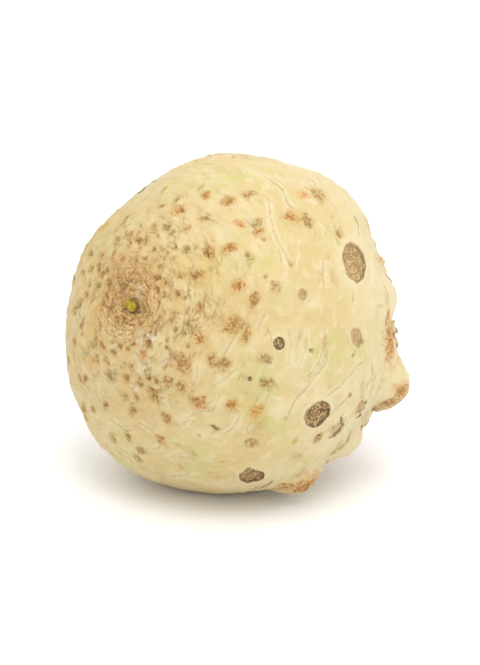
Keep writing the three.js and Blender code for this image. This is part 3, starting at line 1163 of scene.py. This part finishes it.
def skin_material():
    material = bpy.data.materials.new("celeriac_skin")
    material.use_nodes = True
    s = SkinCoats(material)
    coat_with_skin(s)
    coat_with_dry_lines(s)
    coat_with_cracks(s)
    coat_with_crown(s)
    coat_with_bark(s)
    coat_with_scars(s, "spot_reach", "spot_look")
    coat_with_scars(s, "scar_reach", "scar_look", s.attribute("scar_lean"))
    coat_with_bud(s)

    s.lift(0.8, s.times(s.flecks, s.dullness))
    rough = s.ease(s.noise_of(5, 1.0), 0.3, 0.7, 0.42, 0.58)
    roughness = s.math("ADD", rough, s.times(s.dullness, 0.35), clamp=True)
    bump = s.node("ShaderNodeBump", {"Height": s.relief, "Distance": 1.0 * MM, "Strength": 0.9})
    shader = s.node(
        "ShaderNodeBsdfPrincipled",
        {
            "Base Color": s.colour,
            "Roughness": roughness,
            "Normal": bump.outputs[0],
            "Subsurface Weight": 0.12,
            "Subsurface Radius": (1.0, 0.7, 0.35),
            "Subsurface Scale": 2 * MM,
            "IOR": 1.42,
        },
    )
    output = s.node("ShaderNodeOutputMaterial")
    s.tree.links.new(shader.outputs[0], output.inputs[0])
    return material


# ---------------------------------------------------------------------------------------------
# Stage, light and camera
# ---------------------------------------------------------------------------------------------
CAMERA_AZIMUTH = radians(-46)
CAMERA_ELEVATION = radians(20)
CAMERA_DISTANCE = 655 * MM
CAMERA_LENS = 100  # mm
AIM = Vector((0.4, -1.7, 53.3)) * MM

TENT_TOP = Vector((0.13, -0.22, 1.0))  # towards its brightest part
TENT_DIMMEST = 0.60
TENT_BRIGHTEST = 1.64
FLOOR_SIZE = 12
FLOOR_GREY = 0.93


def from_aim(azimuth, elevation, distance):
    """A place at that distance from the aim, and the turn that looks back at the aim."""
    back = Vector((
        sin(azimuth) * cos(elevation), -cos(azimuth) * cos(elevation), sin(elevation),
    ))
    return AIM + back * distance, back.to_track_quat("Z", "Y")


def make_camera():
    camera = bpy.data.objects.new("camera", bpy.data.cameras.new("camera"))
    camera.data.lens = CAMERA_LENS
    camera.rotation_mode = "QUATERNION"
    camera.location, camera.rotation_quaternion = from_aim(
        CAMERA_AZIMUTH, CAMERA_ELEVATION, CAMERA_DISTANCE
    )
    bpy.context.scene.collection.objects.link(camera)
    bpy.context.scene.camera = camera


def make_light(name, azimuth, elevation, distance, size, power):
    light = bpy.data.objects.new(name, bpy.data.lights.new(name, "AREA"))
    light.data.size = size
    light.data.energy = power
    light.rotation_mode = "QUATERNION"
    light.location, light.rotation_quaternion = from_aim(
        radians(azimuth), radians(elevation), distance
    )
    bpy.context.scene.collection.objects.link(light)


def make_stage():
    bpy.ops.object.select_all(action="DESELECT")
    bpy.ops.mesh.primitive_plane_add(size=FLOOR_SIZE)
    floor = bpy.context.active_object
    floor.name = "floor"
    material = bpy.data.materials.new("floor")
    material.use_nodes = True
    shader = material.node_tree.nodes["Principled BSDF"]
    shader.inputs["Base Color"].default_value = (FLOOR_GREY, FLOOR_GREY, FLOOR_GREY, 1)
    shader.inputs["Roughness"].default_value = 0.9
    shader.inputs["Specular IOR Level"].default_value = 0.1
    floor.data.materials.append(material)


def make_world():
    """A soft white tent, brightest overhead. The camera sees it white all round."""
    world = bpy.data.worlds.new("tent")
    world.use_nodes = True
    tree = world.node_tree
    direction = tree.nodes.new("ShaderNodeTexCoord").outputs["Generated"]
    facing = tree.nodes.new("ShaderNodeVectorMath")
    facing.operation = "DOT_PRODUCT"
    tree.links.new(direction, facing.inputs[0])
    facing.inputs[1].default_value = TENT_TOP.normalized()
    strength = tree.nodes.new("ShaderNodeMapRange")
    strength.inputs["From Min"].default_value = -0.2
    strength.inputs["To Min"].default_value = TENT_DIMMEST
    strength.inputs["To Max"].default_value = TENT_BRIGHTEST
    tree.links.new(facing.outputs["Value"], strength.inputs["Value"])
    seen = tree.nodes.new("ShaderNodeMath")
    seen.operation = "MAXIMUM"
    tree.links.new(strength.outputs["Result"], seen.inputs[0])
    tree.links.new(tree.nodes.new("ShaderNodeLightPath").outputs["Is Camera Ray"], seen.inputs[1])
    background = tree.nodes["Background"]
    background.inputs["Color"].default_value = (1, 1, 1, 1)
    tree.links.new(seen.outputs["Value"], background.inputs["Strength"])
    bpy.context.scene.world = world


make_camera()
make_world()
make_stage()
make_light("overhead softbox", azimuth=-32, elevation=62, distance=0.8, size=0.4, power=1.7)
bpy.context.scene.view_settings.view_transform = "Standard"

celeriac = make_skin()
celeriac.data.materials.append(skin_material())
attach(celeriac, "root")
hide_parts("celeriac_root")
